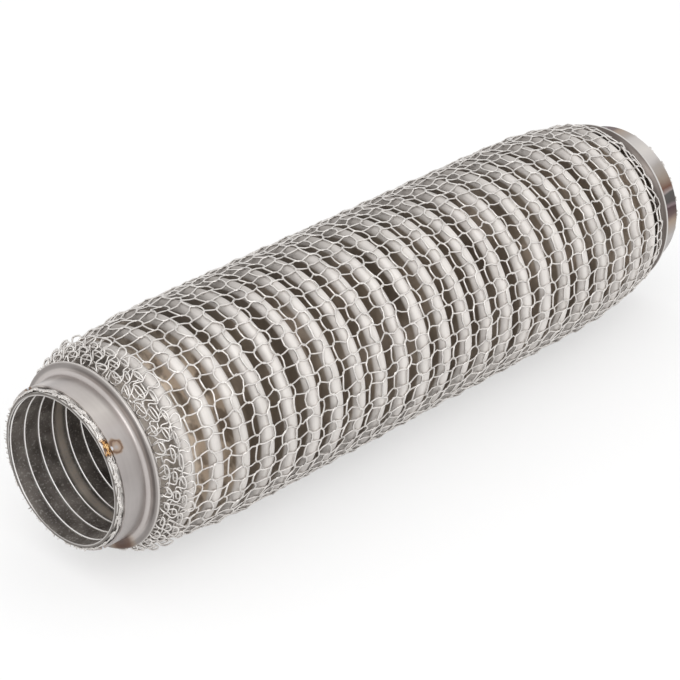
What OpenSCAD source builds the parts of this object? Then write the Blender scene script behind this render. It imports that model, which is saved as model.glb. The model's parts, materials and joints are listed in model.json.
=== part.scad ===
// Exhaust flex pipe: a strip-wound inner hose, a corrugated sheet bellows around it,
// a knitted wire sleeve over the bellows and a pressed collar tack-welded on each end.
// It lies along X, with the front mouth at -X, and rests on the floor at Z = 0.

/* [Overall] */
// Length from one end of the inner hose to the other
overall_length = 280; // [240:1:360]
// Clear bore through the inner hose
bore_d = 50; // [40:0.5:65]
// Assembly clearance between one layer and the next
fit_gap = 0.05; // [0.02:0.01:0.15]

/* [Inner hose] */
// Thickness of the wound strip
strip_t = 0.35; // [0.25:0.05:0.5]
// Axial distance from one turn to the next
turn_pitch = 5.8; // [4.5:0.1:8]
// Width of the open groove between two turns
turn_groove = 1.4; // [1.2:0.1:2]
// Free play between the strip's hooked layers
lap_play = 0.3; // [0.2:0.05:0.5]
// How far the hose stands out of each collar
hose_reach = 2; // [1:0.1:4]

/* [Bellows] */
// Number of corrugations
convolutions = 23; // [17:1:27]
// Sheet thickness
bellows_t = 0.35; // [0.2:0.05:0.5]
// Height of a corrugation, from valley to crest
convolution_h = 8.9; // [7.5:0.1:11]
// Space between the inner hose and the valleys
valley_space = 2.2; // [1.5:0.1:4]
// How much lower the first and the last crest are
end_drop = 3; // [1:0.1:4]
// Number of corrugations at each end over which the crests rise to full height
end_fade = 3; // [2:1:5]
// Space between a collar's crimped edge and the bellows' end wall
end_space = 7; // [6:0.1:10]
// Centre-line radius of the bend between the cuff and the end wall
cuff_bend = 1.5; // [1:0.1:2.5]

/* [Knitted sleeve] */
// Diameter of the knitting wire; the knit is one wire thick, and two where its rows hook
wire_d = 0.55; // [0.4:0.05:0.7]
// Thickness of the knit where a collar squeezes it
pressed_knit = 0.5; // [0.4:0.05:1]
// How deep the knit hangs between two crests
knit_sag = 0.9; // [0.4:0.1:1.4]
// Openings around each valley
gaps_around = 5; // [3:1:5]
// Angle that one opening takes
gap_angle = 58; // [30:1:62]
// Knit left standing beside an opening, towards each crest
gap_edge = 1.1; // [0.6:0.1:1.4]
// How far the cut wires stand out of each collar
wire_reach = 1.6; // [0.2:0.1:1.8]
// Rise of the gathered knit behind a collar, above the collar's crimped edge
gather_rise = 2; // [1:0.1:2.5]
// Centre-line radius of the gathered knit's bends
gather_bend = 1.2; // [1:0.1:1.5]
// How much the knit flattens where the pipe lies on it
flat_depth = 0.25; // [0.15:0.05:0.35]

/* [Collars] */
// Sheet thickness
collar_t = 0.7; // [0.6:0.1:1]
// Length of the straight lip
lip_length = 8.3; // [5:0.1:12]
// Centre-line radius of the hollow bend at the lip's foot
foot_bend = 1.7; // [1:0.1:2.2]
// Straight height of the shoulder
shoulder_h = 1.6; // [0.5:0.1:2.5]
// Centre-line radius of the bead at the collar's widest place
bead_bend = 0.6; // [0.5:0.1:1.5]
// Slope of the edge that is crimped in behind the bead
crimp_angle = 48; // [40:1:60]
// Length of the crimped edge
crimp_length = 2.4; // [1.5:0.1:3]
// Tack welds around each lip
weld_count = 4; // [3:1:8]
// Diameter of the dent that a weld leaves
weld_d = 2.6; // [2:0.1:3]
// Depth of that dent
weld_depth = 0.12; // [0.05:0.01:0.25]
// Distance of the welds from the lip's edge
weld_inset = 1.8; // [1.8:0.1:3.5]
// Angle of the front collar's first weld, from the top towards -Y
weld_turn = 54; // [0:1:90]
// Turn of the rear collar's welds against the front ones
rear_turn = 18; // [0:1:90]

/* [Hidden] */
$fn = 96;
bend_steps = 8;
scallop_steps = 6;
hook_steps = 4;
hook_share = 0.8;
overcut = 1;
end_wrap = 35;

// Layers at the ends, from the bore outwards; a name in _c is a sheet's middle
bore_r = bore_d / 2;
liner_r = bore_r + 2 * strip_t + lap_play;
cuff_c = liner_r + fit_gap + bellows_t / 2;
pressed_c = cuff_c + bellows_t / 2 + fit_gap + pressed_knit / 2;
lip_c = pressed_c + pressed_knit / 2 + fit_gap + collar_t / 2;
lip_r = lip_c + collar_t / 2;

// Stations from the middle of the pipe outwards to one end
end_x = overall_length / 2;
lip_x = end_x - hose_reach;
foot_x = lip_x - lip_length;
bead_x = foot_x - foot_bend - bead_bend;
crimp_x = bead_x - bead_bend * sin(crimp_angle) - crimp_length * cos(crimp_angle);
wall_x = crimp_x - end_space;

// Collar bead and crimped edge
bead_c = lip_c + foot_bend + shoulder_h;
crimp_c = bead_c + bead_bend * cos(crimp_angle) - crimp_length * sin(crimp_angle);

// Corrugations: crests and valleys are half circles of a quarter pitch
pitch = wall_x / ((convolutions - 1) / 2 + 1 / 4);
bend_r = pitch / 4;
valley_r = liner_r + valley_space;
valley_c = valley_r - bellows_t / 2 + bend_r;
crest_r = valley_r + convolution_h;

// Knit over the crests, and gathered behind the collars
knit_t = wire_d;
knit_bend = bend_r + bellows_t / 2 + fit_gap + knit_t / 2;
knit_wrap = acos(1 - knit_sag / knit_bend);
sleeve_r = crest_r + fit_gap + knit_t;
gap_length = pitch - 2 * knit_bend * sin(knit_wrap) - 2 * gap_edge;
gather_c = crimp_c + gather_rise - knit_t / 2;
rise_x = crimp_x - knit_t;

// Height of the axis over the floor, with the knit a little flattened underneath
axis_h = sleeve_r - flat_depth;

// Plane geometry of bent sheet: a path of [radius, station] points and its outline
function unit(v) = v / norm(v);
function left(v) = [-v[1], v[0]];
function polar(r, angle) = r * [cos(angle), sin(angle)];
function arc(c, r, from, to, steps = bend_steps) =
    [for (k = [0:steps]) c + polar(r, from + (to - from) * k / steps)];
function mirrored(path) = [for (k = [len(path) - 1:-1:0]) [path[k][0], -path[k][1]]];
function heading(path, k) = unit(path[k + 1] - path[k]);
function miter(path, k) =
    let (before = left(heading(path, max(k - 1, 0))))
    let (after = left(heading(path, min(k, len(path) - 2))))
    (before + after) / (1 + before * after);
function thickness(t, k) = is_list(t) ? t[k] : t;
function side(path, t, sign) =
    [for (k = [0:len(path) - 1]) path[k] + sign * thickness(t, k) / 2 * miter(path, k)];
function reversed(list) = [for (k = [len(list) - 1:-1:0]) list[k]];
function sheet(path, t) = concat(side(path, t, 1), reversed(side(path, t, -1)));

// Crests counted from the front end
function crest_x(k) = (k - (convolutions - 1) / 2) * pitch;
function from_end(k) = min(k, convolutions - 1 - k);
function crest_lowering(k) = end_drop * pow(max(0, 1 - from_end(k) / end_fade), 2);
function crest_c(k) = crest_r - crest_lowering(k) - bellows_t / 2 - bend_r;

// Lays a turned piece along X at the axis height
module along_pipe() {
    translate([0, 0, axis_h])
        rotate([0, 90, 0])
            children();
}

module turned(outline) {
    along_pipe()
        rotate_extrude()
            polygon(outline);
}

// The hooked strip in section: inner bands, and outer bands that bridge the grooves
grooves = floor(overall_length / turn_pitch);
groove_w = turn_groove + strip_t;
inner_c = bore_r + strip_t / 2;
outer_c = liner_r - strip_t / 2;
function groove_x(k) = (k - (grooves - 1) / 2) * turn_pitch;
function groove_path(x) = [
    [inner_c, x - groove_w / 2],
    [outer_c, x - groove_w / 2],
    [outer_c, x + groove_w / 2],
    [inner_c, x + groove_w / 2]
];
strip_path = concat(
    [[inner_c, -end_x]],
    [for (k = [0:grooves - 1]) each groove_path(groove_x(k))],
    [[inner_c, end_x]]
);

module interlock_liner() {
    color([0.42, 0.40, 0.38])
        turned(sheet(strip_path, strip_t));
}

// Cuff, end wall and corrugations of the bellows, from end to end
cuff_path = concat(
    [[cuff_c, -lip_x]],
    arc([cuff_c + cuff_bend, -wall_x - cuff_bend], cuff_bend, 180, 90)
);
bellows_path = concat(
    cuff_path,
    [for (k = [0:convolutions - 1]) each concat(
        arc([crest_c(k), crest_x(k)], bend_r, -90, 90),
        k < convolutions - 1 ? arc([valley_c, crest_x(k) + pitch / 2], bend_r, 270, 90) : []
    )],
    mirrored(cuff_path)
);

module bellows() {
    color([0.80, 0.77, 0.74])
        turned(sheet(bellows_path, bellows_t));
}

// The knit runs from the mouth under the collar, is gathered behind it and lies on the crests
pressed_path = concat(
    [[pressed_c, -lip_x - wire_reach]],
    arc([pressed_c + gather_bend, -rise_x - gather_bend], gather_bend, 180, 90)
);
gather_path = arc([gather_c - gather_bend, -rise_x + gather_bend], gather_bend, -90, -end_wrap);
function knit_from(k) = k == 0 ? -end_wrap : -knit_wrap;
function knit_to(k) = k == convolutions - 1 ? end_wrap : knit_wrap;
crests_path = [for (k = [0:convolutions - 1]) each
    arc([crest_c(k), crest_x(k)], knit_bend, knit_from(k), knit_to(k), scallop_steps)];
sleeve_path = concat(
    pressed_path,
    gather_path,
    crests_path,
    mirrored(gather_path),
    mirrored(pressed_path)
);
pressed_points = len(pressed_path) - 2;
function knit_thickness(k) =
    min(k, len(sleeve_path) - 1 - k) <= pressed_points ? pressed_knit : knit_t;
sleeve_thickness = [for (k = [0:len(sleeve_path) - 1]) knit_thickness(k)];

// Ridges of hooked loops on the knit's outer side, one beside each crest
first_crest = len(pressed_path) + len(gather_path);
crest_points = scallop_steps + 1;
outer_side = side(sleeve_path, sleeve_thickness, -1);
function before_valley(k) =
    k >= first_crest
    && k < first_crest + (convolutions - 1) * crest_points
    && (k - first_crest) % crest_points == scallop_steps;
function hook_ridge(middle, along) = [for (n = [0:hook_steps])
    let (angle = 180 * n / hook_steps)
    middle
        - hook_share * gap_edge / 2 * cos(angle) * along
        - wire_d * sin(angle) * left(along)];
function valley_ridges(from, to) =
    let (along = unit(to - from))
    concat(
        hook_ridge(from + gap_edge / 2 * along, along),
        hook_ridge(to - gap_edge / 2 * along, along)
    );
ridged_side = [for (k = [0:len(outer_side) - 1]) each concat(
    [outer_side[k]],
    before_valley(k) ? valley_ridges(outer_side[k], outer_side[k + 1]) : []
)];
sleeve_outline = concat(side(sleeve_path, sleeve_thickness, 1), reversed(ridged_side));

// One opening of the knit, over a valley
module knit_gap(x, turn) {
    along_pipe()
        rotate([0, 0, turn])
            rotate_extrude(angle = gap_angle)
                translate([valley_c, x - gap_length / 2])
                    square([sleeve_r + overcut - valley_c, gap_length]);
}

module knit_gaps() {
    spacing = 360 / gaps_around;
    for (k = [0:convolutions - 2]) {
        stagger = (k % 2) * spacing / 2;
        for (n = [0:gaps_around - 1])
            knit_gap((crest_x(k) + crest_x(k + 1)) / 2, n * spacing + stagger);
    }
}

module below_floor() {
    translate([-end_x, -sleeve_r, -2 * flat_depth])
        cube([overall_length, 2 * sleeve_r, 2 * flat_depth]);
}

module knit_sleeve() {
    color([0.72, 0.69, 0.66])
        difference() {
            turned(sleeve_outline);
            knit_gaps();
            below_floor();
        }
}

// Lip, hollow foot, shoulder, bead and crimped edge of the front collar
collar_path = concat(
    [[lip_c, -lip_x]],
    arc([lip_c + foot_bend, -foot_x], foot_bend, 180, 90),
    arc([bead_c, -bead_x], bead_bend, -90, crimp_angle),
    [[crimp_c, -crimp_x]]
);

// Shallow dents of the tack welds around a lip
module weld_dents(x, turn) {
    dent_r = (pow(weld_d / 2, 2) + pow(weld_depth, 2)) / (2 * weld_depth);
    for (k = [0:weld_count - 1])
        translate([x, 0, axis_h])
            rotate([turn + k * 360 / weld_count, 0, 0])
                translate([0, 0, lip_r + dent_r - weld_depth])
                    sphere(dent_r);
}

module collar(path, x, turn) {
    color([0.66, 0.63, 0.61])
        difference() {
            turned(sheet(path, collar_t));
            weld_dents(x, turn);
        }
}

module front_collar() {
    collar(collar_path, -lip_x + weld_inset, weld_turn);
}

module rear_collar() {
    collar(mirrored(collar_path), lip_x - weld_inset, weld_turn + rear_turn);
}

interlock_liner();
bellows();
knit_sleeve();
front_collar();
rear_collar();
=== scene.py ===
import json
from functools import partial
from math import cos, pi, radians, sin, sqrt

import bmesh
import bpy
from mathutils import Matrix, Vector


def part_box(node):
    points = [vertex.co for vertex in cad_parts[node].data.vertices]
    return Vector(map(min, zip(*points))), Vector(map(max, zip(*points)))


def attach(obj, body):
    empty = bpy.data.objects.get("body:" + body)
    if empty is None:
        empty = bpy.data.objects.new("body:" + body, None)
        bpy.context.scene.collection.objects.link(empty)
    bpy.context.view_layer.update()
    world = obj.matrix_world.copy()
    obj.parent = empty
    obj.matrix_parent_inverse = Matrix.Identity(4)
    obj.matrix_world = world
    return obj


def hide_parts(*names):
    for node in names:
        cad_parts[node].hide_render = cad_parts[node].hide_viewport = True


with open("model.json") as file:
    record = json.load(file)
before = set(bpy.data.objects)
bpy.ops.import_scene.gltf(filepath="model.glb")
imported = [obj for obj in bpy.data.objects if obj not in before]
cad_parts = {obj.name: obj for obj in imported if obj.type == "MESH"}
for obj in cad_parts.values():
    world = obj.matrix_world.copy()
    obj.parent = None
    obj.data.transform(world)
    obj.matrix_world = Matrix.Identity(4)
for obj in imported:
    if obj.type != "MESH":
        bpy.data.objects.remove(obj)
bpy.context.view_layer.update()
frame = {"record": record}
mm = 0.001
hair = 0.001 * mm
fullTurn = 2 * pi


def mountNamed(name):
    return next(m for m in frame["record"]["mounts"] if m["name"] == name)


# sizes that every piece shares, read from the frame
bore = mountNamed("bore")
lip = mountNamed("rear_lip")
pipe = {
    "axisHeight": bore["pos_m"][2],
    "boreRadius": bore["dims"]["r_mm"] * mm,
    "lipRadius": lip["dims"]["r_mm"] * mm,
    "lipLength": lip["dims"]["length_mm"] * mm,
    "lipX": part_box("rear_collar")[1].x,
    "endX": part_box("interlock_liner")[1].x,
    "linerRadius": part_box("interlock_liner")[1].y,
    "crestRadius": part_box("bellows")[1].y,
    "convolutions": 23,
    "layerGap": 0.05 * mm,
}
footX = pipe["lipX"] - pipe["lipLength"]  # where the lip bends up into the collar's foot
print("frame loaded, pipe", round(2 * pipe["endX"] / mm, 1), "mm long")


def onPipe(x, radius, turn):
    # turns are counted from the top of the pipe towards -Y
    return Vector((x, -radius * sin(turn), pipe["axisHeight"] + radius * cos(turn)))


# node helpers
nodeSpace = {"down": 7, "width": 190, "height": 170}
numberSocket = "NodeSocketFloat"
wholeSocket = "NodeSocketInt"
vectorSocket = "NodeSocketVector"
colorSocket = "NodeSocketColor"
geometrySocket = "NodeSocketGeometry"


def plug(tree, value, socket):
    if isinstance(value, bpy.types.NodeSocket):
        tree.links.new(value, socket)
    else:
        socket.default_value = value


def addNode(tree, kind, inputs=None, **settings):
    made = tree.nodes.new(kind)
    column, row = divmod(len(tree.nodes), nodeSpace["down"])
    made.location = (nodeSpace["width"] * column, -nodeSpace["height"] * row)
    for key, value in settings.items():
        setattr(made, key, value)
    for key, value in (inputs or {}).items():
        plug(tree, value, made.inputs[key])
    return made


def calc(tree, operation, *values):
    return addNode(tree, "ShaderNodeMath", dict(enumerate(values)), operation=operation).outputs[0]


def vecCalc(tree, operation, *values, output="Vector"):
    made = addNode(tree, "ShaderNodeVectorMath", dict(enumerate(values)), operation=operation)
    return made.outputs[output]


def splitUp(tree, vector):
    return addNode(tree, "ShaderNodeSeparateXYZ", {0: vector}).outputs


def joinUp(tree, x, y, z):
    return addNode(tree, "ShaderNodeCombineXYZ", {0: x, 1: y, 2: z}).outputs[0]


def keepWithin(tree, value, low, high):
    return calc(tree, "MINIMUM", calc(tree, "MAXIMUM", value, low), high)


def mixColor(tree, factor, first, second, blend="MIX"):
    made = addNode(tree, "ShaderNodeMix", data_type="RGBA", blend_type=blend)
    plug(tree, factor, made.inputs["Factor"])
    plug(tree, first, made.inputs[6])  # the colour sockets of this node
    plug(tree, (*second, 1.0) if isinstance(second, tuple) else second, made.inputs[7])
    return made.outputs[2]


def remap(tree, value, fromLow, fromHigh, toLow=0.0, toHigh=1.0):
    made = addNode(tree, "ShaderNodeMapRange", interpolation_type="SMOOTHSTEP")
    for key, entry in enumerate((value, fromLow, fromHigh, toLow, toHigh)):
        plug(tree, entry, made.inputs[key])
    return made.outputs[0]


def noiseOf(tree, vector, scale, detail=2.0):
    return addNode(tree, "ShaderNodeTexNoise",
                   {"Vector": vector, "Scale": scale, "Detail": detail}).outputs[0]


def rampOf(tree, value, tones):
    made = addNode(tree, "ShaderNodeValToRGB", {"Fac": value})
    ramp = made.color_ramp
    while len(ramp.elements) < len(tones):
        ramp.elements.new(0.5)
    for element, (place, color) in zip(ramp.elements, tones):
        element.position = place
        element.color = (*color, 1.0)
    return made.outputs[0]


def newTree(name, kind, inputs, outputs):
    tree = bpy.data.node_groups.new(name, kind)
    for label, socket in inputs.items():
        tree.interface.new_socket(label, in_out="INPUT", socket_type=socket)
    for label, socket in outputs.items():
        tree.interface.new_socket(label, in_out="OUTPUT", socket_type=socket)
    entry = tree.nodes.new("NodeGroupInput")
    leave = tree.nodes.new("NodeGroupOutput")
    return tree, entry.outputs, leave.inputs


def newGroup(name, inputs, outputs):
    return newTree(name, "ShaderNodeTree", inputs, outputs)


def useGroup(tree, group, inputs):
    return addNode(tree, "ShaderNodeGroup", inputs, node_tree=group).outputs


def newMaterial(name):
    made = bpy.data.materials.new(name)
    made.use_nodes = True
    tree = made.node_tree
    return made, tree, tree.nodes["Principled BSDF"]


# finishes that several pieces share
finish = {
    "streakDetail": 4.0,
    "mottleScale": 160.0,
    "mottleDetail": 3.0,
    "speckScale": 1400.0,
    "blotchScale": 300.0,
    "blotchDetail": 3.0,
    "blotchSpread": 1.1,
    "tintTones": [
        (0.0, (0.38, 0.35, 0.34)), (0.25, (0.37, 0.29, 0.235)), (0.42, (0.33, 0.235, 0.17)),
        (0.56, (0.135, 0.075, 0.045)), (0.70, (0.22, 0.135, 0.08)), (0.92, (0.42, 0.345, 0.285))],
    "tintFade": (0.6, 1.05),
    # painted shade: darker along the top of the pipe as it lies, and under it, by share of a turn
    "paintedShade": [
        (0.0, 0.6), (0.11, 0.36), (0.20, 0.0), (0.33, 0.0), (0.42, 0.8), (0.45, 0.96), (0.478, 0.76),
        (0.506, 0.47), (0.535, 0.22), (0.575, 0.0), (0.79, 0.0), (0.825, 0.33), (0.90, 0.6), (1.0, 0.6)],
}


def makeSheetGrain():
    group, given, out = newGroup(
        "sheetGrain", {"Place": vectorSocket, "Along": numberSocket, "Around": numberSocket},
        {"Streak": numberSocket, "Mottle": numberSocket, "Speck": numberSocket})
    place = given["Place"]
    stretch = joinUp(group, given["Along"], given["Around"], given["Around"])
    rolled = vecCalc(group, "MULTIPLY", place, stretch)
    plug(group, noiseOf(group, rolled, 1.0, finish["streakDetail"]), out["Streak"])  # runs round the pipe
    plug(group, noiseOf(group, place, finish["mottleScale"], finish["mottleDetail"]), out["Mottle"])
    plug(group, noiseOf(group, place, finish["speckScale"]), out["Speck"])
    return group


def makeHeatTint():
    group, given, out = newGroup(
        "heatTint", {"Place": vectorSocket, "Weld": vectorSocket, "Reach": numberSocket},
        {"Color": colorSocket, "Mask": numberSocket})
    away = vecCalc(group, "DISTANCE", given["Place"], given["Weld"], output="Value")
    blotch = noiseOf(group, given["Place"], finish["blotchScale"], finish["blotchDetail"])
    blotch = calc(group, "MULTIPLY", calc(group, "SUBTRACT", blotch, 0.5), finish["blotchSpread"])
    spread = calc(group, "ADD", calc(group, "DIVIDE", away, given["Reach"]), blotch)
    plug(group, rampOf(group, spread, finish["tintTones"]), out["Color"])
    plug(group, remap(group, spread, *finish["tintFade"], 1.0, 0.0), out["Mask"])
    return group


def makePipeRadius():
    group, given, out = newGroup("pipeRadius", {"Place": vectorSocket},
                                 {"Radius": numberSocket, "Turn": numberSocket})
    flat = vecCalc(group, "MULTIPLY_ADD", given["Place"], (0, 1, 1), (0, 0, -pipe["axisHeight"]))
    parts = splitUp(group, flat)
    plug(group, vecCalc(group, "LENGTH", flat, output="Value"), out["Radius"])
    plug(group, calc(group, "ARCTAN2", calc(group, "MULTIPLY", parts[1], -1.0), parts[2]), out["Turn"])
    return group


def turnShare(tree, turn):
    # 0 and 1 are under the pipe, 0.5 is its top and 0.75 its -Y side
    return calc(tree, "ADD", calc(tree, "DIVIDE", turn, fullTurn), 0.5)


# painted shade by turn, darkening the top and the underside of the lying pipe
def makePaintedShadeByTurn():
    group, given, out = newGroup("paintedShadeByTurn", {"Place": vectorSocket}, {"PaintedShade": numberSocket})
    around = useGroup(group, pipeRadius, {"Place": given["Place"]})
    tones = [(share, (paintedShade, paintedShade, paintedShade)) for share, paintedShade in finish["paintedShade"]]
    plug(group, rampOf(group, turnShare(group, around["Turn"]), tones), out["PaintedShade"])
    return group


sheetGrain = makeSheetGrain()
heatTint = makeHeatTint()
pipeRadius = makePipeRadius()
paintedShadeByTurn = makePaintedShadeByTurn()
print("finishes made")


def newSteel(name, grainScales):
    made, tree, shader = newMaterial(name)
    shader.inputs["Metallic"].default_value = 1.0
    place = addNode(tree, "ShaderNodeTexCoord").outputs["Object"]
    along, around = grainScales
    grain = useGroup(tree, sheetGrain, {"Place": place, "Along": along, "Around": around})
    return made, tree, shader, place, grain


def endSteel(tree, shader, base, roughness):
    plug(tree, base, shader.inputs["Base Color"])
    plug(tree, roughness, shader.inputs["Roughness"])


def addBump(tree, shader, height, strength, distance):
    bump = addNode(tree, "ShaderNodeBump", {"Height": height, "Strength": strength, "Distance": distance})
    plug(tree, bump.outputs[0], shader.inputs["Normal"])


# plane outlines of bent sheet: points are (x, radius)
sheetSharpAngle = radians(40)


def arc(centre, radius, start, end, steps):
    points = []
    for k in range(steps + 1):
        turn = radians(start + (end - start) * k / steps)
        points.append((centre[0] + radius * sin(turn), centre[1] + radius * cos(turn)))
    return points  # 0 points outwards from the axis, 90 towards +X


def bentSheet(path, thickness):
    sides = ([], [])
    for k, here in enumerate(path):
        before = Vector(path[max(k - 1, 0)])
        after = Vector(path[min(k + 1, len(path) - 1)])
        along = (after - before).normalized()
        across = Vector((-along.y, along.x)) * thickness / 2
        sides[0].append((here[0] + across.x, here[1] + across.y))
        sides[1].append((here[0] - across.x, here[1] - across.y))
    return sides[0] + sides[1][::-1]


def addObject(name, data):
    made = bpy.data.objects.new(name, data)
    bpy.context.scene.collection.objects.link(made)
    return made


def revolve(name, outline, segments, material, dent=None):
    count = len(outline)
    verts = []
    for k in range(segments):
        turn = fullTurn * k / segments
        for x, radius in outline:
            push = dent(x, turn) if dent else 0.0
            verts.append(onPipe(x, radius + push, turn))
    faces = []
    for k in range(segments):
        near, far = k * count, (k + 1) % segments * count
        for i in range(count):
            j = (i + 1) % count
            faces.append((near + i, near + j, far + j, far + i))
    mesh = bpy.data.meshes.new(name)
    mesh.from_pydata(verts, [], faces)
    work = bmesh.new()
    work.from_mesh(mesh)
    bmesh.ops.recalc_face_normals(work, faces=work.faces)
    work.to_mesh(mesh)
    work.free()
    mesh.shade_smooth()
    mesh.set_sharp_from_angle(angle=sheetSharpAngle)
    mesh.materials.append(material)
    return addObject(name, mesh)


def finishPiece(piece, node):
    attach(piece, "root")
    if node:
        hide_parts(node)


# collars: lip, hollow foot, shoulder, bead and crimped edge
collar = {
    "sheet": 0.7 * mm,
    "footBend": 1.7 * mm,
    "shoulder": 1.6 * mm,
    "beadBend": 0.6 * mm,
    "crimpAngle": 48,
    "crimpLength": 2.4 * mm,
    "lipSteps": 6,
    "footSteps": 10,
    "beadSteps": 16,
    "segments": 192,
    "grain": (900.0, 70.0),
    "bumpStrength": 0.12,
    "bumpDepth": 0.1 * mm,
    "frontRoughness": (0.25, 0.75, 0.28, 0.40),   # from the grain's range to this one
    "rearRoughness": (0.25, 0.75, 0.30, 0.44),
    # from lip to bead: painted reflections, bright in the hollow and on the bead, and painted shade on
    # the wall between them
    "paintedReflectionTones": [
        (0.0, (0.52, 0.49, 0.475)), (0.2, (0.58, 0.55, 0.535)), (0.45, (0.54, 0.51, 0.495)),
        (0.6, (0.31, 0.29, 0.28)), (0.86, (0.27, 0.25, 0.24)), (0.95, (0.36, 0.34, 0.325)),
        (0.985, (0.66, 0.635, 0.615))],
    # round the lip: painted reflection, paler over its back, with one painted highlight streak
    "paintedLipReflection": [
        (0.25, (0.43, 0.41, 0.40)), (0.34, (0.49, 0.465, 0.45)), (0.425, (0.48, 0.455, 0.44)),
        (0.445, (0.60, 0.57, 0.55)), (0.465, (0.46, 0.435, 0.425)), (0.50, (0.54, 0.51, 0.495)),
        (0.545, (0.58, 0.55, 0.53)), (0.58, (0.67, 0.635, 0.605)), (0.615, (0.53, 0.50, 0.485)),
        (0.65, (0.41, 0.385, 0.375)), (0.71, (0.41, 0.385, 0.375)), (0.75, (0.49, 0.465, 0.455)),
        (0.86, (0.44, 0.415, 0.405))],
    "lipEnd": 0.05,                       # share of the rise where the lip's tones give way
    "paintedSheenFade": (2.4 * mm, 0.2 * mm),   # painted reflection: ahead of the foot, the lip turns pale too
    "paintedSheenShare": 0.8,
    "paintedSheenTone": (0.52, 0.49, 0.475),
    "mottleShare": 0.35,
    "mottleTones": [(0.3, (0.34, 0.315, 0.305)), (0.7, (0.50, 0.47, 0.46))],
    "streakShare": 0.12,
    "streakTones": [(0.35, (0.30, 0.28, 0.27)), (0.65, (0.52, 0.49, 0.47))],
    # painted shade on the crimped skirt
    "skirtShadeFade": (0.5 * mm, 0.15 * mm),   # behind the middle of the bead
    "skirtShadeTones": [(0.3, (0.12, 0.10, 0.09)), (0.7, (0.22, 0.195, 0.18))],
}
beadX = footX - collar["footBend"] - collar["beadBend"]

# tack welds round each lip, with the heat colours that they left
weld = {
    "count": 4,
    "inset": 1.8 * mm,
    "nuggetRadius": 1.3 * mm,
    "nuggetDepth": 0.12 * mm,
    "frontTurn": radians(54),
    "rearTurn": radians(72),
    "frontReach": 3.1 * mm,
    "tintShare": 0.9,
    "beadInset": 0.1 * mm,
    "beadReach": 0.9 * mm,
    "beadTone": (0.66, 0.69, 0.74),       # melted edge, bluish white
    "burnTurn": radians(151),
    "burnRise": 1.0 * mm,
    "burnReach": 8.5 * mm,
    "burnTones": [(0.0, (0.06, 0.03, 0.025)), (0.5, (0.13, 0.07, 0.045)), (0.85, (0.38, 0.26, 0.15))],
    "spotCore": 0.4,                      # share of a spot's reach that is full
    "spotShare": 0.9,
    "bandReach": 0.62,                    # half of the banded stretch, as an angle
    "bandFade": (0.46, 0.60),
    "bandRagged": 0.10,
    "bandRise": (1.2 * mm, 2.4 * mm),
    "bandTones": [
        (0.0, (0.42, 0.39, 0.37)), (0.17, (0.30, 0.245, 0.20)), (0.30, (0.17, 0.09, 0.065)),
        (0.37, (0.33, 0.28, 0.27)), (0.40, (0.11, 0.105, 0.10)), (0.55, (0.10, 0.09, 0.088)),
        (0.61, (0.24, 0.185, 0.195)), (0.64, (0.09, 0.058, 0.062)), (0.75, (0.14, 0.095, 0.09)),
        (0.85, (0.36, 0.28, 0.22)), (1.0, (0.42, 0.39, 0.37))],
}


def makeCollarShade():
    group, given, out = newGroup("collarShade", {"Place": vectorSocket}, {"Color": colorSocket})
    around = useGroup(group, pipeRadius, {"Place": given["Place"]})
    height = collar["footBend"] + collar["shoulder"] + collar["beadBend"]
    rise = calc(group, "DIVIDE", calc(group, "SUBTRACT", around["Radius"], pipe["lipRadius"]), height)
    # painted reflections and painted shade up the pressed rise from lip to bead
    paintedReflection = rampOf(group, rise, collar["paintedReflectionTones"])
    # painted reflection round the lip, with one painted highlight streak
    paintedLipTone = rampOf(group, turnShare(group, around["Turn"]), collar["paintedLipReflection"])
    along = calc(group, "ABSOLUTE", splitUp(group, given["Place"])[0])
    # painted reflection on the lip just ahead of the foot
    first, full = collar["paintedSheenFade"]
    hollow = remap(group, along, footX + first, footX + full, 0.0, collar["paintedSheenShare"])
    paintedLipTone = mixColor(group, hollow, paintedLipTone, collar["paintedSheenTone"])
    plug(group, mixColor(group, remap(group, rise, 0.0, collar["lipEnd"]), paintedLipTone, paintedReflection), out["Color"])
    return group


def frontSpots(inset):
    turns = [weld["frontTurn"] + fullTurn * k / weld["count"] for k in range(weld["count"])]
    return [onPipe(inset - pipe["lipX"], pipe["lipRadius"], turn) for turn in turns]


def spotMask(tree, away, reach):
    return remap(tree, away, weld["spotCore"] * reach, reach, weld["spotShare"], 0.0)


def makeFrontCollarSteel():
    made, tree, shader, place, grain = newSteel("frontCollarSteel", collar["grain"])
    base = useGroup(tree, collarShade, {"Place": place})["Color"]
    mottle = rampOf(tree, grain["Mottle"], collar["mottleTones"])
    base = mixColor(tree, collar["mottleShare"], base, mottle, "OVERLAY")
    streak = rampOf(tree, grain["Streak"], collar["streakTones"])
    base = mixColor(tree, collar["streakShare"], base, streak)
    for spot in frontSpots(weld["inset"]):
        tint = useGroup(tree, heatTint, {"Place": place, "Weld": spot, "Reach": weld["frontReach"]})
        tinted = calc(tree, "MULTIPLY", tint["Mask"], weld["tintShare"])
        base = mixColor(tree, tinted, base, tint["Color"])
    # burn mark under the collar
    burn = onPipe(-footX, pipe["lipRadius"] + weld["burnRise"], weld["burnTurn"])
    away = vecCalc(tree, "DISTANCE", place, burn, output="Value")
    burnt = rampOf(tree, calc(tree, "DIVIDE", away, weld["burnReach"]), weld["burnTones"])
    base = mixColor(tree, spotMask(tree, away, weld["burnReach"]), base, burnt)
    for spot in frontSpots(weld["beadInset"]):
        away = vecCalc(tree, "DISTANCE", place, spot, output="Value")
        base = mixColor(tree, spotMask(tree, away, weld["beadReach"]), base, weld["beadTone"])
    endSteel(tree, shader, base, remap(tree, grain["Mottle"], *collar["frontRoughness"]))
    addBump(tree, shader, grain["Mottle"], collar["bumpStrength"], collar["bumpDepth"])
    return made


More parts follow.
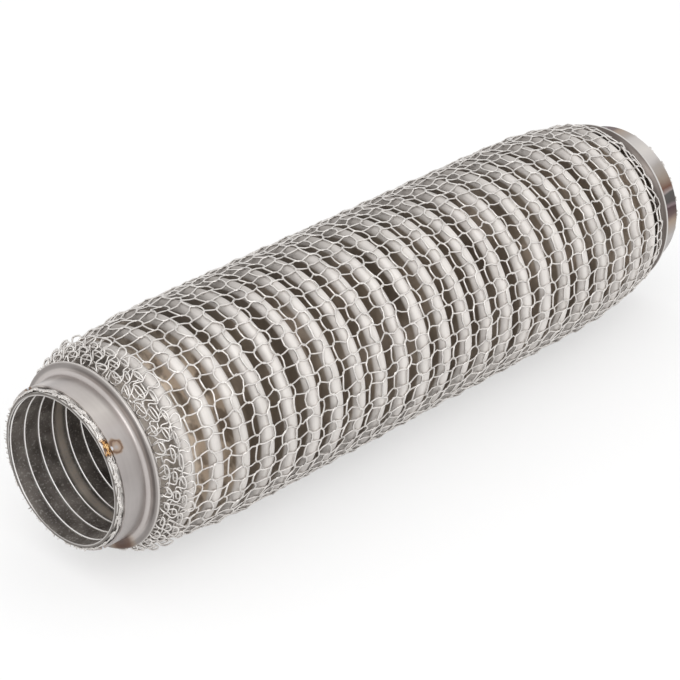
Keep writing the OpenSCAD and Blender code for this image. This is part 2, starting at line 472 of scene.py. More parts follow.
def makeRearCollarSteel():
    made, tree, shader, place, grain = newSteel("rearCollarSteel", collar["grain"])
    do = partial(calc, tree)
    around = useGroup(tree, pipeRadius, {"Place": place})
    base = useGroup(tree, collarShade, {"Place": place})["Color"]
    # heat colours in bands along the lip, on both sides of each weld
    half = pi / weld["count"]
    offTurn = do("WRAP", do("SUBTRACT", around["Turn"], weld["rearTurn"]), half, -half)
    offTurn = do("ADD", offTurn, do("MULTIPLY", do("SUBTRACT", grain["Mottle"], 0.5), weld["bandRagged"]))
    bands = rampOf(tree, remap(tree, offTurn, -weld["bandReach"], weld["bandReach"]), weld["bandTones"])
    rise = do("SUBTRACT", around["Radius"], pipe["lipRadius"])
    tinted = do("MULTIPLY", remap(tree, rise, *weld["bandRise"], 1.0, 0.0),
                remap(tree, do("ABSOLUTE", offTurn), *weld["bandFade"], 1.0, 0.0))
    base = mixColor(tree, tinted, base, bands)
    # the crimped skirt is painted dark and brownish, as painted shade
    full, last = collar["skirtShadeFade"]
    skirtShade = remap(tree, splitUp(tree, place)[0], beadX - full, beadX - last, 1.0, 0.0)
    base = mixColor(tree, skirtShade, base, rampOf(tree, grain["Streak"], collar["skirtShadeTones"]))
    endSteel(tree, shader, base, remap(tree, grain["Mottle"], *collar["rearRoughness"]))
    addBump(tree, shader, grain["Mottle"], collar["bumpStrength"], collar["bumpDepth"])
    return made


def collarPath():
    c = collar
    lipMid = pipe["lipRadius"] - c["sheet"] / 2
    beadMid = lipMid + c["footBend"] + c["shoulder"]
    slope = radians(c["crimpAngle"])
    edgeX = beadX - c["beadBend"] * sin(slope) - c["crimpLength"] * cos(slope)
    edgeMid = beadMid + c["beadBend"] * cos(slope) - c["crimpLength"] * sin(slope)
    lipStep = pipe["lipLength"] / c["lipSteps"]
    lipPart = [(pipe["lipX"] - lipStep * k, lipMid) for k in range(c["lipSteps"])]
    foot = arc((footX, lipMid + c["footBend"]), c["footBend"], 180, 270, c["footSteps"])
    bead = arc((beadX, beadMid), c["beadBend"], 90, -c["crimpAngle"], c["beadSteps"])
    return lipPart + foot + bead + [(edgeX, edgeMid)]


def weldDent(endSign, firstTurn):
    spotX = endSign * (pipe["lipX"] - weld["inset"])
    step = fullTurn / weld["count"]

    def push(x, turn):
        offTurn = (turn - firstTurn + step / 2) % step - step / 2
        away = sqrt((x - spotX) ** 2 + (pipe["lipRadius"] * offTurn) ** 2)
        return -weld["nuggetDepth"] * max(0.0, 1 - (away / weld["nuggetRadius"]) ** 2)
    return push


def makeCollar(name, endSign, firstTurn, material):
    path = [(endSign * x, radius) for x, radius in rearPath]
    return revolve(name, bentSheet(path, collar["sheet"]), collar["segments"], material,
                   weldDent(endSign, firstTurn))


collarShade = makeCollarShade()
rearPath = collarPath()
crimpX, crimpMid = rearPath[-1]
frontCollar = makeCollar("frontCollar", -1, weld["frontTurn"], makeFrontCollarSteel())
rearCollar = makeCollar("rearCollar", 1, weld["rearTurn"], makeRearCollarSteel())
finishPiece(frontCollar, "front_collar")
finishPiece(rearCollar, "rear_collar")
print("collars made")


# bellows: cuffs, end walls and half-round corrugations
bellows = {
    "sheet": 0.35 * mm,
    "height": 8.9 * mm,
    "endDrop": 3.0 * mm,
    "endFade": 3,                         # crests from each end that are lower
    "endSpace": 7.0 * mm,
    "cuffBend": 1.5 * mm,
    "bendSteps": 7,
    "segments": 108,
    "grain": (1500.0, 40.0),
    "bumpStrength": 0.1,
    "bumpDepth": 0.06 * mm,
    "roughness": (0.2, 0.8, 0.66, 0.80),
    # valleys painted dark and brown: brown oxide and painted shade in the recesses
    "valleyOxideAndShadeFade": (2.6 * mm, 1.7 * mm),   # below the crest, from valley to top
    "valleyOxideAndShadeTones": [(0.3, (0.27, 0.23, 0.19)), (0.55, (0.43, 0.37, 0.31)), (0.75, (0.74, 0.66, 0.58))],
    "tanFade": (-84 * mm, -104 * mm),     # tan patches in the first valleys
    "tanMottle": (0.38, 0.54),
    "tanShare": 0.95,
    "tanTone": (0.79, 0.705, 0.61),
    "cuffFade": (-116.5 * mm, -118.5 * mm),
    "cuffShare": 0.75,
    "cuffTone": (0.74, 0.70, 0.66),
    "topTones": [(0.3, (0.68, 0.65, 0.625)), (0.7, (0.80, 0.77, 0.745))],
    # painted highlight along the very top of each crest
    "rubFade": (1.0 * mm, 0.1 * mm),
    "paintedGlintShare": 0.6,
    "rubTone": (0.88, 0.85, 0.82),
    # painted shade along the top and the underside
    "filmShare": 0.7,
    "filmTone": (0.20, 0.175, 0.155),
}
lastCrest = pipe["convolutions"] - 1
wallX = crimpX - bellows["endSpace"]
pitch = wallX / (lastCrest / 2 + 1 / 4)  # the end walls stand a quarter past the end crests


def crestX(k):
    return (k - lastCrest / 2) * pitch


def crestDrop(k):
    fromEnd = min(k, lastCrest - k)
    return bellows["endDrop"] * max(0.0, 1 - fromEnd / bellows["endFade"]) ** 2


def crestTop(k):
    return pipe["crestRadius"] - crestDrop(k)


def makeBellowsSteel():
    b = bellows
    made, tree, shader, place, grain = newSteel("bellowsSteel", b["grain"])
    do = partial(calc, tree)
    radius = useGroup(tree, pipeRadius, {"Place": place})["Radius"]
    x = splitUp(tree, place)[0]
    # the end crests are lower, so the bright tops follow them down
    inward = do("DIVIDE", do("SUBTRACT", crestX(lastCrest), do("ABSOLUTE", x)), b["endFade"] * pitch)
    lower = do("POWER", do("SUBTRACT", 1.0, keepWithin(tree, inward, 0.0, 1.0)), 2.0)
    crest = do("SUBTRACT", pipe["crestRadius"], do("MULTIPLY", lower, b["endDrop"]))
    below = do("SUBTRACT", crest, radius)
    # brown oxide and painted shade in the valleys
    valley = rampOf(tree, grain["Streak"], b["valleyOxideAndShadeTones"])
    patches = do("MULTIPLY", remap(tree, x, *b["tanFade"]),
                 remap(tree, grain["Mottle"], *b["tanMottle"], 0.0, b["tanShare"]))
    valley = mixColor(tree, patches, valley, b["tanTone"])
    valley = mixColor(tree, remap(tree, x, *b["cuffFade"], 0.0, b["cuffShare"]), valley, b["cuffTone"])
    top = rampOf(tree, grain["Mottle"], b["topTones"])
    # painted highlight along the crest tops
    top = mixColor(tree, remap(tree, below, *b["rubFade"], 0.0, b["paintedGlintShare"]), top, b["rubTone"])
    base = mixColor(tree, remap(tree, below, *b["valleyOxideAndShadeFade"]), valley, top)
    # painted shade: the bellows darker along the top and the underside
    paintedShade = useGroup(tree, paintedShadeByTurn, {"Place": place})["PaintedShade"]
    base = mixColor(tree, do("MULTIPLY", paintedShade, b["filmShare"]), base, b["filmTone"])
    endSteel(tree, shader, base, remap(tree, grain["Streak"], *b["roughness"]))
    addBump(tree, shader, grain["Streak"], b["bumpStrength"], b["bumpDepth"])
    return made


def makeBellows():
    b = bellows
    bend = pitch / 4
    half = b["sheet"] / 2
    cuffMid = pipe["linerRadius"] + pipe["layerGap"] + half
    valleyMid = pipe["crestRadius"] - b["height"] - half + bend
    cuff = [(pipe["lipX"], cuffMid)]
    cuff += arc((wallX + b["cuffBend"], cuffMid + b["cuffBend"]), b["cuffBend"], 180, 270, b["bendSteps"])
    path = [(-x, radius) for x, radius in cuff]
    for k in range(pipe["convolutions"]):
        path += arc((crestX(k), crestTop(k) - half - bend), bend, -90, 90, 2 * b["bendSteps"])
        if k < lastCrest:
            path += arc((crestX(k) + pitch / 2, valleyMid), bend, 270, 90, b["bendSteps"])
    path += cuff[::-1]
    return revolve("bellowsShell", bentSheet(path, b["sheet"]), b["segments"], makeBellowsSteel())


bellowsShell = makeBellows()
finishPiece(bellowsShell, "bellows")
print("bellows made")


# geometry node helpers: an input of a tree has the name of the dictionary's value that it takes

def newGrower(name, wholes, numbers):
    inputs = {"Geometry": geometrySocket}
    inputs.update({label: wholeSocket for label in wholes})
    inputs.update({label: numberSocket for label in numbers})
    return newTree(name, "GeometryNodeTree", inputs, {"Geometry": geometrySocket})


def roundAxis(tree, radius, turn, axisHeight):
    y = calc(tree, "MULTIPLY", calc(tree, "MULTIPLY", radius, calc(tree, "SINE", turn)), -1.0)
    z = calc(tree, "ADD", calc(tree, "MULTIPLY", radius, calc(tree, "COSINE", turn)), axisHeight)
    return y, z


def wireAlong(tree, given, curve, capped):
    radius = calc(tree, "MULTIPLY", given["wireDiameter"], 0.5)
    section = addNode(tree, "GeometryNodeCurvePrimitiveCircle", {
        "Resolution": given["wireSides"], "Radius": radius}).outputs[0]
    return addNode(tree, "GeometryNodeCurveToMesh", {
        "Curve": curve, "Profile Curve": section, "Fill Caps": capped}).outputs[0]


def endTree(tree, geometry, material, out):
    smooth = addNode(tree, "GeometryNodeSetShadeSmooth", {"Geometry": geometry}).outputs[0]
    real = addNode(tree, "GeometryNodeRealizeInstances", {"Geometry": smooth}).outputs[0]
    shown = addNode(tree, "GeometryNodeSetMaterial", {"Geometry": real, "Material": material}).outputs[0]
    plug(tree, shown, out["Geometry"])


def grow(name, points, tree, values):
    mesh = bpy.data.meshes.new(name + "Line")
    mesh.from_pydata(points, [(k, k + 1) for k in range(len(points) - 1)], [])
    made = addObject(name, mesh)
    modifier = made.modifiers.new("grow", "NODES")
    modifier.node_group = tree
    for item in tree.interface.items_tree:
        if item.item_type == "SOCKET" and item.in_out == "INPUT" and item.name in values:
            modifier[item.identifier] = values[item.name]
    bpy.context.view_layer.update()
    ready = made.evaluated_get(bpy.context.evaluated_depsgraph_get())
    made.data = bpy.data.meshes.new_from_object(ready)
    made.modifiers.remove(modifier)
    return made


# inner hose: a hooked strip wound along a right-hand helix, with its ends cut square
strip = {
    "pitch": 5.8 * mm,
    "groove": 1.0 * mm,
    "grooveDepth": 0.3 * mm,
    "edge": 0.28 * mm,
    "start": 1.2 * mm,
    "stepsRound": 96,
    "seam": 0.002 * mm,                   # points closer than this are joined
    "sharpAngle": radians(25),
    "grain": (500.0, 90.0),
    "bumpStrength": 0.2,
    "bumpDepth": 0.05 * mm,
    "roughness": (0.2, 0.8, 0.56, 0.72),
    "tones": [(0.3, (0.23, 0.205, 0.19)), (0.7, (0.46, 0.42, 0.39))],
    "paleTurn": -21.3,                    # one turn is rubbed paler
    "paleReach": 0.5,
    "paleCore": 0.6,
    "paleAcross": (0.42, 0.12),
    "paleShare": 0.9,
    "paleTone": (0.92, 0.84, 0.75),
    "speckFade": (0.56, 0.68),
    "speckShare": 0.7,
    "speckTone": (0.74, 0.71, 0.68),
    "rubFade": (0.01 * mm, 0.05 * mm),    # painted highlight on the folded edge, above the bore
    "rubGloss": 0.25,
    "rubTone": (0.86, 0.84, 0.82),
    # the cut end is bright along the bore, with painted shade of the gap behind it
    "cutFade": (0.15 * mm, 0.02 * mm),
    "cutTones": [(0.0, (0.62, 0.60, 0.58)), (0.22, (0.52, 0.50, 0.48)), (0.4, (0.24, 0.22, 0.205)),
                 (1.0, (0.16, 0.145, 0.135))],
}


def makeStripSteel():
    s = strip
    made, tree, shader, place, grain = newSteel("stripSteel", s["grain"])
    do = partial(calc, tree)
    around = useGroup(tree, pipeRadius, {"Place": place})
    x = splitUp(tree, place)[0]
    base = rampOf(tree, grain["Mottle"], s["tones"])
    # turns along the strip, and the place across it
    share = do("FRACT", do("DIVIDE", around["Turn"], fullTurn))
    wound = do("SUBTRACT", do("DIVIDE", do("SUBTRACT", x, s["start"]), s["pitch"]), share)
    across = do("ABSOLUTE", do("SUBTRACT", do("FRACT", wound), 0.5))
    turns = do("ADD", do("FLOOR", wound), share)
    off = do("ABSOLUTE", do("SUBTRACT", turns, s["paleTurn"]))
    pale = do("MULTIPLY", remap(tree, off, s["paleReach"], s["paleCore"] * s["paleReach"]),
              remap(tree, across, *s["paleAcross"], 0.0, s["paleShare"]))
    base = mixColor(tree, pale, base, s["paleTone"])
    speck = remap(tree, grain["Speck"], *s["speckFade"])
    base = mixColor(tree, do("MULTIPLY", speck, s["speckShare"]), base, s["speckTone"])
    # painted highlight on the folded edge of the strip
    first, full = s["rubFade"]
    paintedGlint = remap(tree, around["Radius"], pipe["boreRadius"] + first, pipe["boreRadius"] + full)
    base = mixColor(tree, paintedGlint, base, s["rubTone"])
    # painted shade on the cut end, behind a bright line along the bore
    first, full = s["cutFade"]
    cut = remap(tree, do("ABSOLUTE", x), pipe["endX"] - first, pipe["endX"] - full)
    wall = do("DIVIDE", do("SUBTRACT", around["Radius"], pipe["boreRadius"]),
              pipe["linerRadius"] - pipe["boreRadius"])
    base = mixColor(tree, cut, base, rampOf(tree, wall, s["cutTones"]))
    rough = remap(tree, grain["Mottle"], *s["roughness"])
    endSteel(tree, shader, base, do("SUBTRACT", rough, do("MULTIPLY", paintedGlint, s["rubGloss"])))
    addBump(tree, shader, grain["Speck"], s["bumpStrength"], s["bumpDepth"])
    return made


def makeStripTree():
    tree, given, out = newGrower(
        "stripWinding", ["rows", "stepsRound"],
        ["pitch", "groove", "grooveDepth", "edge", "start", "endX", "boreRadius", "linerRadius",
         "axisHeight"])
    do = partial(calc, tree)
    columns = do("ADD", given["stepsRound"], 1)
    grid = addNode(tree, "GeometryNodeMeshGrid", {
        "Vertices X": given["rows"], "Vertices Y": columns}).outputs[0]
    index = addNode(tree, "GeometryNodeInputIndex").outputs[0]
    row = do("FLOOR", do("DIVIDE", do("ADD", index, 0.5), columns))
    share = do("DIVIDE", do("SUBTRACT", index, do("MULTIPLY", row, columns)), given["stepsRound"])
    spot = addNode(tree, "GeometryNodeInputPosition").outputs[0]
    corner = addNode(tree, "GeometryNodeSampleIndex", {
        "Geometry": given["Geometry"], "Value": spot, "Index": row}, data_type="FLOAT_VECTOR").outputs[0]
    point = splitUp(tree, corner)

    # each row slides one pitch in a turn, and stops at the square ends
    slide = do("MULTIPLY", share, given["pitch"])
    x = keepWithin(tree, do("ADD", point[0], slide), do("MULTIPLY", given["endX"], -1.0), given["endX"])
    wound = do("DIVIDE", do("SUBTRACT", do("SUBTRACT", x, slide), given["start"]), given["pitch"])
    cycle = do("FRACT", wound)
    away = do("MULTIPLY", do("MINIMUM", cycle, do("SUBTRACT", 1.0, cycle)), given["pitch"])
    sunk = do("DIVIDE", do("SUBTRACT", do("MULTIPLY", given["groove"], 0.5), away), given["edge"])
    sunk = do("MULTIPLY", keepWithin(tree, sunk, 0.0, 1.0), given["grooveDepth"])
    inner = do("ADD", given["boreRadius"], sunk)
    radius = do("ADD", inner, do("MULTIPLY", point[1], do("SUBTRACT", given["linerRadius"], inner)))
    y, z = roundAxis(tree, radius, do("MULTIPLY", share, fullTurn), given["axisHeight"])
    bent = addNode(tree, "GeometryNodeSetPosition", {
        "Geometry": grid, "Position": joinUp(tree, x, y, z)}).outputs[0]
    closed = addNode(tree, "GeometryNodeMergeByDistance", {
        "Geometry": bent, "Distance": strip["seam"]}).outputs[0]
    endTree(tree, closed, makeStripSteel(), out)
    return tree


def stripRows():
    # corners of the inner side, a turn longer at each end, then the plain outer side and back
    s = strip
    half = s["groove"] / 2
    rows = []
    first = -int(pipe["endX"] / s["pitch"]) - 2
    for k in range(first, -first + 1):
        middle = s["start"] + k * s["pitch"]
        for offset in (-half, s["edge"] - half, half - s["edge"], half, s["pitch"] / 2):
            rows.append((middle + offset, 0.0, 0.0))
    beyond = 2 * pipe["endX"]
    rows += [(beyond, 1.0, 0.0), (-beyond, 1.0, 0.0), rows[0]]
    return rows


def makeLiner():
    rows = stripRows()
    made = grow("innerHose", rows, makeStripTree(), {**pipe, **strip, "rows": len(rows)})
    made.data.set_sharp_from_angle(angle=strip["sharpAngle"])
    return made


innerHose = makeLiner()
finishPiece(innerHose, "interlock_liner")
print("hose wound,", len(innerHose.data.polygons), "faces")


# knitted sleeve: rings of interlocked loops that lie on the crests
knit = {
    "wales": 24,
    "pointsPerLoop": 16,
    "gatheredCourses": 2,
    "wireDiameter": 0.62 * mm,
    "wireSides": 5,
    "legTurn": radians(0.4),
    "flareTurn": radians(2.1),
    "squareness": 0.3,
    "courseStep": 5.85 * mm,
    "reach": 4.1 * mm,
    "sag": 0.9 * mm,
    "rest": 0.45,
    "drift": 4.0 * mm,
    "driftScale": 26.0,
    "driftStretch": (1.0, 0.5, 0.5),
    "wander": 3.0 * mm,
    "sway": radians(7),
    "gatherWander": 2.4 * mm,
    "gatherShrink": 0.62,                 # steps of the gathered courses, one to the next
    "gatherSpan": 2.4,
    "gatherTight": 0.66,
    "lift": 0.5 * mm,
    "liftMiddle": 0.4,
    "weave": 0.3,                         # how far loops weave in and out, in wire diameters
    "stand": 0.0,
    "twist": 0.0,
    "noiseScale": 200.0,
    "noiseRadius": 37.0 * mm,
    "seed": 4.0,
    "lineSteps": 8,
    # the line's ends, from the crimped edge: along the pipe and outwards
    "endPath": [(-0.8 * mm, -0.3 * mm), (1.0 * mm, 1.2 * mm), (3.0 * mm, 2.6 * mm)],
    "grain": (700.0, 700.0),
    "roughness": (0.3, 0.7, 0.26, 0.42),
    "tones": [(0.3, (0.67, 0.64, 0.615)), (0.7, (0.86, 0.83, 0.80))],
    # wires burnt by the front weld that is seen
    "burntInset": 0.8 * mm,
    "burntDrop": 1.0 * mm,
    "burntTurn": weld["frontTurn"] - radians(2),
    "burntReach": 3.2 * mm,
    "burntScale": 900.0,
    "burntTones": [(0.38, (0.13, 0.075, 0.05)), (0.5, (0.60, 0.32, 0.12)), (0.62, (0.85, 0.60, 0.30))],
    # painted shade along the top and the underside
    "filmShare": 0.15,
    "filmTone": (0.36, 0.33, 0.31),
}


def makeWireSteel():
    made, tree, shader, place, grain = newSteel("wireSteel", knit["grain"])
    base = rampOf(tree, grain["Mottle"], knit["tones"])
    burn = onPipe(knit["burntInset"] - pipe["endX"], pipe["lipRadius"] - knit["burntDrop"],
                  knit["burntTurn"])
    tint = useGroup(tree, heatTint, {"Place": place, "Weld": burn, "Reach": knit["burntReach"]})
    burnt = rampOf(tree, noiseOf(tree, place, knit["burntScale"]), knit["burntTones"])
    base = mixColor(tree, tint["Mask"], base, burnt)
    # painted shade: the wires a little darker along the top and the underside
    paintedShade = useGroup(tree, paintedShadeByTurn, {"Place": place})["PaintedShade"]
    base = mixColor(tree, calc(tree, "MULTIPLY", paintedShade, knit["filmShare"]), base, knit["filmTone"])
    endSteel(tree, shader, base, remap(tree, grain["Speck"], *knit["roughness"]))
    return made


def fromCrimp(path):
    return [(along - crimpX, crimpMid + out) for along, out in path]


def knitLine():
    # rests on each crest, sags over each valley and draws in under the collars
    lift = pipe["layerGap"] + knit["rest"] * knit["wireDiameter"]
    ends = fromCrimp(knit["endPath"])
    body = []
    for k in range(pipe["convolutions"]):
        top = crestTop(k) + lift
        body.append((crestX(k), top))
        if k < lastCrest:
            nextTop = crestTop(k + 1) + lift
            body.append((crestX(k) + pitch / 2, (top + nextTop) / 2 - knit["sag"]))
    return ends + body + [(-x, radius) for x, radius in ends[::-1]]


def smoothLine(points):
    # a Catmull-Rom curve through the points
    last = len(points) - 1
    line = []
    for k in range(last):
        p0, p1, p2, p3 = (Vector(points[min(max(k + j, 0), last)]) for j in (-1, 0, 1, 2))
        for i in range(knit["lineSteps"]):
            t = i / knit["lineSteps"]
            line.append(0.5 * ((2 * p1) + (p2 - p0) * t + (2 * p0 - 5 * p1 + 4 * p2 - p3) * t * t
                               + (3 * p1 - p0 - 3 * p2 + p3) * t ** 3))
    line.append(Vector(points[-1]))
    return [(p.x, 0.0, p.y) for p in line]


def lineLength(line):
    return sum((Vector(b) - Vector(a)).length for a, b in zip(line, line[1:]))


def makeKnitTree():
    tree, given, out = newGrower(
        "knitRings", ["wales", "pointsPerLoop", "courses", "gatheredCourses", "wireSides"],
        ["wireDiameter", "firstCourse", "courseStep", "reach", "legTurn", "flareTurn", "squareness",
         "wander", "gatherWander", "sway", "drift", "lift", "stand", "twist", "noiseScale", "seed",
         "axisHeight"])
    do = partial(calc, tree)
    line = addNode(tree, "GeometryNodeMeshToCurve", {"Mesh": given["Geometry"]}).outputs[0]
    ringCount = do("MULTIPLY", given["wales"], given["pointsPerLoop"])
    ring = addNode(tree, "GeometryNodeCurvePrimitiveCircle", {"Resolution": ringCount}).outputs[0]
    row = addNode(tree, "GeometryNodeMeshLine", {"Count": given["courses"]}).outputs[0]
    rings = addNode(tree, "GeometryNodeInstanceOnPoints", {"Points": row, "Instance": ring}).outputs[0]
    rings = addNode(tree, "GeometryNodeRealizeInstances", {"Geometry": rings}).outputs[0]

    index = addNode(tree, "GeometryNodeInputIndex").outputs[0]
    course = do("SUBTRACT", do("FLOOR", do("DIVIDE", index, ringCount)), given["gatheredCourses"])
    loop = do("DIVIDE", do("MODULO", index, ringCount), given["pointsPerLoop"])
    phase = do("MULTIPLY", loop, fullTurn)
    twice = do("MULTIPLY", phase, 2.0)

    # angle round the pipe: even steps, drawn together into legs and flared at the heads
    turn = do("ADD", do("DIVIDE", phase, given["wales"]), do("MULTIPLY", course, given["twist"]))
    turn = do("ADD", turn, do("MULTIPLY", do("SINE", phase), given["legTurn"]))
    turn = do("ADD", turn, do("MULTIPLY", do("SINE", twice), given["flareTurn"]))

    # reach along the pipe, from the sinker at -1 to the head at 1
    wave = do("MULTIPLY", do("COSINE", phase), -1.0)
    square = do("SINE", do("MULTIPLY", wave, pi / 2))
    wave = do("ADD", wave, do("MULTIPLY", do("SUBTRACT", square, wave), given["squareness"]))

    # courses past the first and the last crest are gathered
    last = do("SUBTRACT", given["courses"], do("MULTIPLY", given["gatheredCourses"], 2.0))
    last = do("SUBTRACT", last, 1.0)
    before = do("MAXIMUM", do("MULTIPLY", course, -1.0), 0.0)
    after = do("MAXIMUM", do("SUBTRACT", course, last), 0.0)
    past = do("ADD", before, after)
    kept = keepWithin(tree, course, 0.0, last)

    def squeezed(count):
        return do("SUBTRACT", 1.0, do("POWER", knit["gatherShrink"], count))

    gather = do("MULTIPLY", do("SUBTRACT", squeezed(after), squeezed(before)), knit["gatherSpan"])
    place = do("ADD", given["firstCourse"], do("MULTIPLY", do("ADD", kept, gather), given["courseStep"]))
    tight = do("POWER", knit["gatherTight"], past)
    place = do("ADD", place, do("MULTIPLY", do("MULTIPLY", wave, given["reach"]), tight))

    # slow wandering of the loops, stronger where they are gathered
    spot = joinUp(tree, place, do("MULTIPLY", do("SINE", turn), knit["noiseRadius"]),
                  do("MULTIPLY", do("COSINE", turn), knit["noiseRadius"]))
    loose = addNode(tree, "ShaderNodeTexNoise", {
        "Vector": spot, "W": given["seed"], "Scale": given["noiseScale"], "Detail": 1.0},
        noise_dimensions="4D").outputs[1]
    stray = splitUp(tree, loose)
    ends = do("MINIMUM", past, 1.0)
    wander = do("ADD", given["wander"], do("MULTIPLY", ends, given["gatherWander"]))
    place = do("ADD", place, do("MULTIPLY", do("SUBTRACT", stray[0], 0.5), wander))
    slow = noiseOf(tree, vecCalc(tree, "MULTIPLY", spot, knit["driftStretch"]), knit["driftScale"], 0.0)
    place = do("ADD", place, do("MULTIPLY", do("SUBTRACT", slow, 0.5), given["drift"]))
    sway = do("MULTIPLY", given["sway"], do("ADD", ends, 1.0))
    turn = do("ADD", turn, do("MULTIPLY", do("SUBTRACT", stray[1], 0.5), sway))

    # in and out: the weave, the loose loops and the heads that stand off
    off = do("MULTIPLY", do("COSINE", twice), do("MULTIPLY", given["wireDiameter"], knit["weave"]))
    loft = do("ADD", given["lift"], do("MULTIPLY", ends, given["gatherWander"]))
    off = do("ADD", off, do("MULTIPLY", do("SUBTRACT", stray[2], knit["liftMiddle"]), loft))
    off = do("ADD", off, do("MULTIPLY", do("ADD", wave, 1.0), do("MULTIPLY", given["stand"], 0.5)))

    # onto the line that the knit follows, round the axis and no lower than the floor
    found = addNode(tree, "GeometryNodeSampleCurve", {"Curves": line, "Length": place}, mode="LENGTH")
    point = splitUp(tree, found.outputs["Position"])
    along = splitUp(tree, found.outputs["Tangent"])
    x = do("SUBTRACT", point[0], do("MULTIPLY", along[2], off))
    radius = do("ADD", point[2], do("MULTIPLY", along[0], off))
    y, z = roundAxis(tree, radius, turn, given["axisHeight"])
    z = do("MAXIMUM", z, do("MULTIPLY", given["wireDiameter"], 0.5))
    bent = addNode(tree, "GeometryNodeSetPosition", {
        "Geometry": rings, "Position": joinUp(tree, x, y, z)}).outputs[0]
    endTree(tree, wireAlong(tree, given, bent, False), wireSteel, out)
    return tree


def knitRings(name, line, changes):
    return grow(name, line, knitTree, {**pipe, **knit, **changes})


def makeKnit():
    line = smoothLine(knitLine())
    firstCrest = lineLength([p for p in line if p[0] <= crestX(0) + hair])
    between = lineLength(line) - 2 * firstCrest
    steps = round(between / knit["courseStep"])
    return knitRings("knitSleeve", line, {
        "courses": steps + 1 + 2 * knit["gatheredCourses"],
        "firstCourse": firstCrest, "courseStep": between / steps})


wireSteel = makeWireSteel()
knitTree = makeKnitTree()
knitSleeve = makeKnit()
finishPiece(knitSleeve, "knit_sleeve")
print("sleeve knitted,", len(knitSleeve.data.polygons), "faces")


# loops gathered behind the front collar, curled and standing off
gathered = {
    "courses": 4,
    "gatheredCourses": 0,
    "wales": 30,
    "pointsPerLoop": 18,
    "firstCourse": 0.9 * mm,
    "courseStep": 2.7 * mm,
    "reach": 1.8 * mm,
    "stand": 1.4 * mm,
    "legTurn": radians(0.2),
    "flareTurn": radians(2.3),
    "wander": 2.8 * mm,
    "sway": radians(9),
    "drift": 0.0,
    "lift": 1.6 * mm,
    "noiseScale": 120.0,
    "twist": radians(4.7),
    "seed": 11.0,
    "path": [(-0.2 * mm, 0.7 * mm), (1.0 * mm, 2.1 * mm), (2.8 * mm, 3.0 * mm), (6.0 * mm, 4.2 * mm)],
    "crestGap": 0.6 * mm,
}


def makeGather():
    points = fromCrimp(gathered["path"])
    points += [(crestX(k), crestTop(k) + gathered["crestGap"]) for k in (0, 1)]
    return knitRings("frontGather", smoothLine(points), gathered)


frontGather = makeGather()
finishPiece(frontGather, None)


# squeezed knit that shows between lip and hose at each mouth
mouth = {
    "courses": 6,
    "gatheredCourses": 0,
    "wales": 24,
    "pointsPerLoop": 18,
    "wireDiameter": 0.5 * mm,
    "firstCourse": 0.7 * mm,
    "courseStep": 0.36 * mm,
    "reach": 0.6 * mm,
    "legTurn": radians(3.6),
    "flareTurn": 0.0,
    "wander": 1.2 * mm,
    "sway": radians(10),
    "drift": 0.0,
    "noiseScale": 330.0,
    "twist": radians(13),
    "lipInset": 1.0 * mm,
    "endInset": 0.2 * mm,
    "front": {"rise": 0.65 * mm, "lift": 1.2 * mm, "seed": 31.0},
    "rear": {"rise": 0.4 * mm, "lift": 0.3 * mm, "seed": 43.0},
}


def makeMouthWire(name, endSign, own):
    radius = pipe["linerRadius"] + own["rise"]
    ends = (pipe["lipX"] - mouth["lipInset"], pipe["endX"] - mouth["endInset"])
    return knitRings(name, smoothLine([(endSign * x, radius) for x in ends]), {**mouth, **own})


frontMouthWire = makeMouthWire("frontMouthWire", -1, mouth["front"])
rearMouthWire = makeMouthWire("rearMouthWire", 1, mouth["rear"])
finishPiece(frontMouthWire, None)
finishPiece(rearMouthWire, None)


# cut ends of the knit that stand out under the front mouth
cutEnds = {
    "count": 110,
    "firstTurn": radians(145),
    "lastTurn": radians(315),
    "inset": 0.5 * mm,
    "rise": 0.2 * mm,
    "wireDiameter": 0.34 * mm,
    "wireSides": 5,
    "length": 1.5 * mm,
    "meanLength": 0.65,                   # shares of the length
    "lengthSpread": 0.35,
    "throw": 0.9,
    "seed": 7,
}


def makeCutTree():
    tree, given, out = newGrower("cutWires", ["wireSides", "seed"],
                                 ["wireDiameter", "length", "throw", "axisHeight"])
    tip = joinUp(tree, 0.0, 0.0, given["length"])
    line = addNode(tree, "GeometryNodeCurvePrimitiveLine", {"End": tip}).outputs[0]
    # away from the axis, thrown about at random
    spot = addNode(tree, "GeometryNodeInputPosition").outputs[0]
    axis = joinUp(tree, 0.0, 0.0, given["axisHeight"])
    away = vecCalc(tree, "MULTIPLY", vecCalc(tree, "SUBTRACT", spot, axis), (0.0, 1.0, 1.0))
    thrown = addNode(tree, "FunctionNodeRandomValue", {
        "Min": (-1.0, -1.0, -1.0), "Max": (1.0, 1.0, 1.0), "Seed": given["seed"]},
        data_type="FLOAT_VECTOR").outputs[0]
    reach = addNode(tree, "ShaderNodeVectorMath", {0: thrown, "Scale": given["throw"]},
                    operation="SCALE").outputs[0]
    aim = addNode(tree, "FunctionNodeAlignRotationToVector", {
        "Vector": vecCalc(tree, "ADD", vecCalc(tree, "NORMALIZE", away), reach)}, axis="Z").outputs[0]
    size = vecCalc(tree, "MULTIPLY_ADD", thrown, (0.0, 0.0, cutEnds["lengthSpread"]),
                   (1.0, 1.0, cutEnds["meanLength"]))
    ends = addNode(tree, "GeometryNodeInstanceOnPoints", {
        "Points": given["Geometry"], "Instance": wireAlong(tree, given, line, True),
        "Rotation": aim, "Scale": size}).outputs[0]
    endTree(tree, ends, wireSteel, out)
    return tree


def makeCutEnds():
    c = cutEnds
    step = (c["lastTurn"] - c["firstTurn"]) / (c["count"] - 1)
    ring = [onPipe(c["inset"] - pipe["endX"], pipe["linerRadius"] + c["rise"], c["firstTurn"] + step * k)
            for k in range(c["count"])]
    return grow("frontCutEnds", ring, makeCutTree(), {**pipe, **cutEnds})


frontCutEnds = makeCutEnds()
finishPiece(frontCutEnds, None)
print("ends gathered")


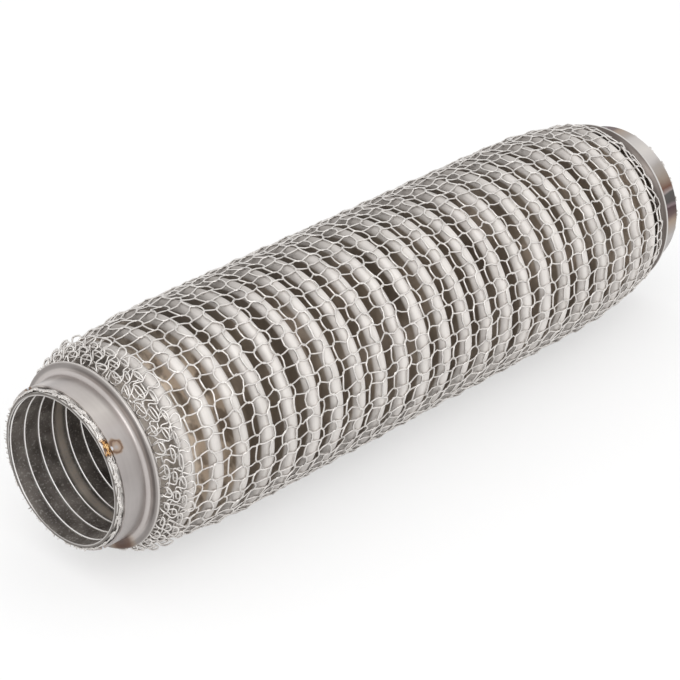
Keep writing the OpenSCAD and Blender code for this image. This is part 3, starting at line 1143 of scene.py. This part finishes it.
# floor, light and camera
stageSet = {
    "floorSize": 6.0,
    "floorColor": (0.96, 0.96, 0.96, 1.0),
    "floorRoughness": 0.9,
    "floorWhite": 0.55,
    "worldColor": (1.0, 1.0, 1.0, 1.0),
    "worldWhite": 1.0,                    # also what the metal shows
    "lampAim": (0, 0, 0.03),
    "key": {"place": (-0.62, -0.62, 0.86), "size": 0.8, "power": 3.0},
    "fill": {"place": (0.55, -1.0, 0.7), "size": 1.0, "power": 0.6},
}
view = {
    "place": (-0.57849, -0.5401, 0.45494),
    "toward": (0.63612, 0.60903, -0.47375),
    "lens": 137.2,
}


def makeFloor():
    half = stageSet["floorSize"] / 2
    mesh = bpy.data.meshes.new("floor")
    corners = [(-half, -half, 0), (half, -half, 0), (half, half, 0), (-half, half, 0)]
    mesh.from_pydata(corners, [], [(0, 1, 2, 3)])
    made = addObject("floor", mesh)
    paint, tree, shader = newMaterial("floorPaint")
    shader.inputs["Base Color"].default_value = stageSet["floorColor"]
    shader.inputs["Roughness"].default_value = stageSet["floorRoughness"]
    # seen by the camera, the floor is part white card, so that the shadow stays faint
    path = addNode(tree, "ShaderNodeLightPath").outputs
    shown = calc(tree, "MAXIMUM", path["Is Camera Ray"], path["Is Glossy Ray"])
    shown = calc(tree, "MAXIMUM", shown, path["Is Transmission Ray"])
    card = addNode(tree, "ShaderNodeEmission", {"Strength": 1.0}).outputs[0]
    share = calc(tree, "MULTIPLY", shown, stageSet["floorWhite"])
    mixed = addNode(tree, "ShaderNodeMixShader", {0: share, 1: shader.outputs[0], 2: card}).outputs[0]
    plug(tree, mixed, tree.nodes["Material Output"].inputs["Surface"])
    mesh.materials.append(paint)


def makeWorld():
    world = bpy.data.worlds.new("studio")
    bpy.context.scene.world = world
    world.use_nodes = True
    back = world.node_tree.nodes["Background"]
    back.inputs["Color"].default_value = stageSet["worldColor"]
    back.inputs["Strength"].default_value = stageSet["worldWhite"]


def lookAlong(made, direction):
    made.rotation_euler = direction.to_track_quat("-Z", "Y").to_euler()


def makeLamp(name, lamp):
    data = bpy.data.lights.new(name, "AREA")
    data.size = lamp["size"]
    data.energy = lamp["power"]
    made = addObject(name, data)
    made.location = lamp["place"]
    lookAlong(made, Vector(stageSet["lampAim"]) - Vector(lamp["place"]))


def makeCamera():
    data = bpy.data.cameras.new("photoView")
    data.lens = view["lens"]
    made = addObject("photoView", data)
    made.location = view["place"]
    lookAlong(made, Vector(view["toward"]))
    bpy.context.scene.camera = made


makeFloor()
makeWorld()
makeLamp("keyLamp", stageSet["key"])
makeLamp("fillLamp", stageSet["fill"])
makeCamera()
bpy.context.scene.view_settings.view_transform = "Standard"
print("stage set")
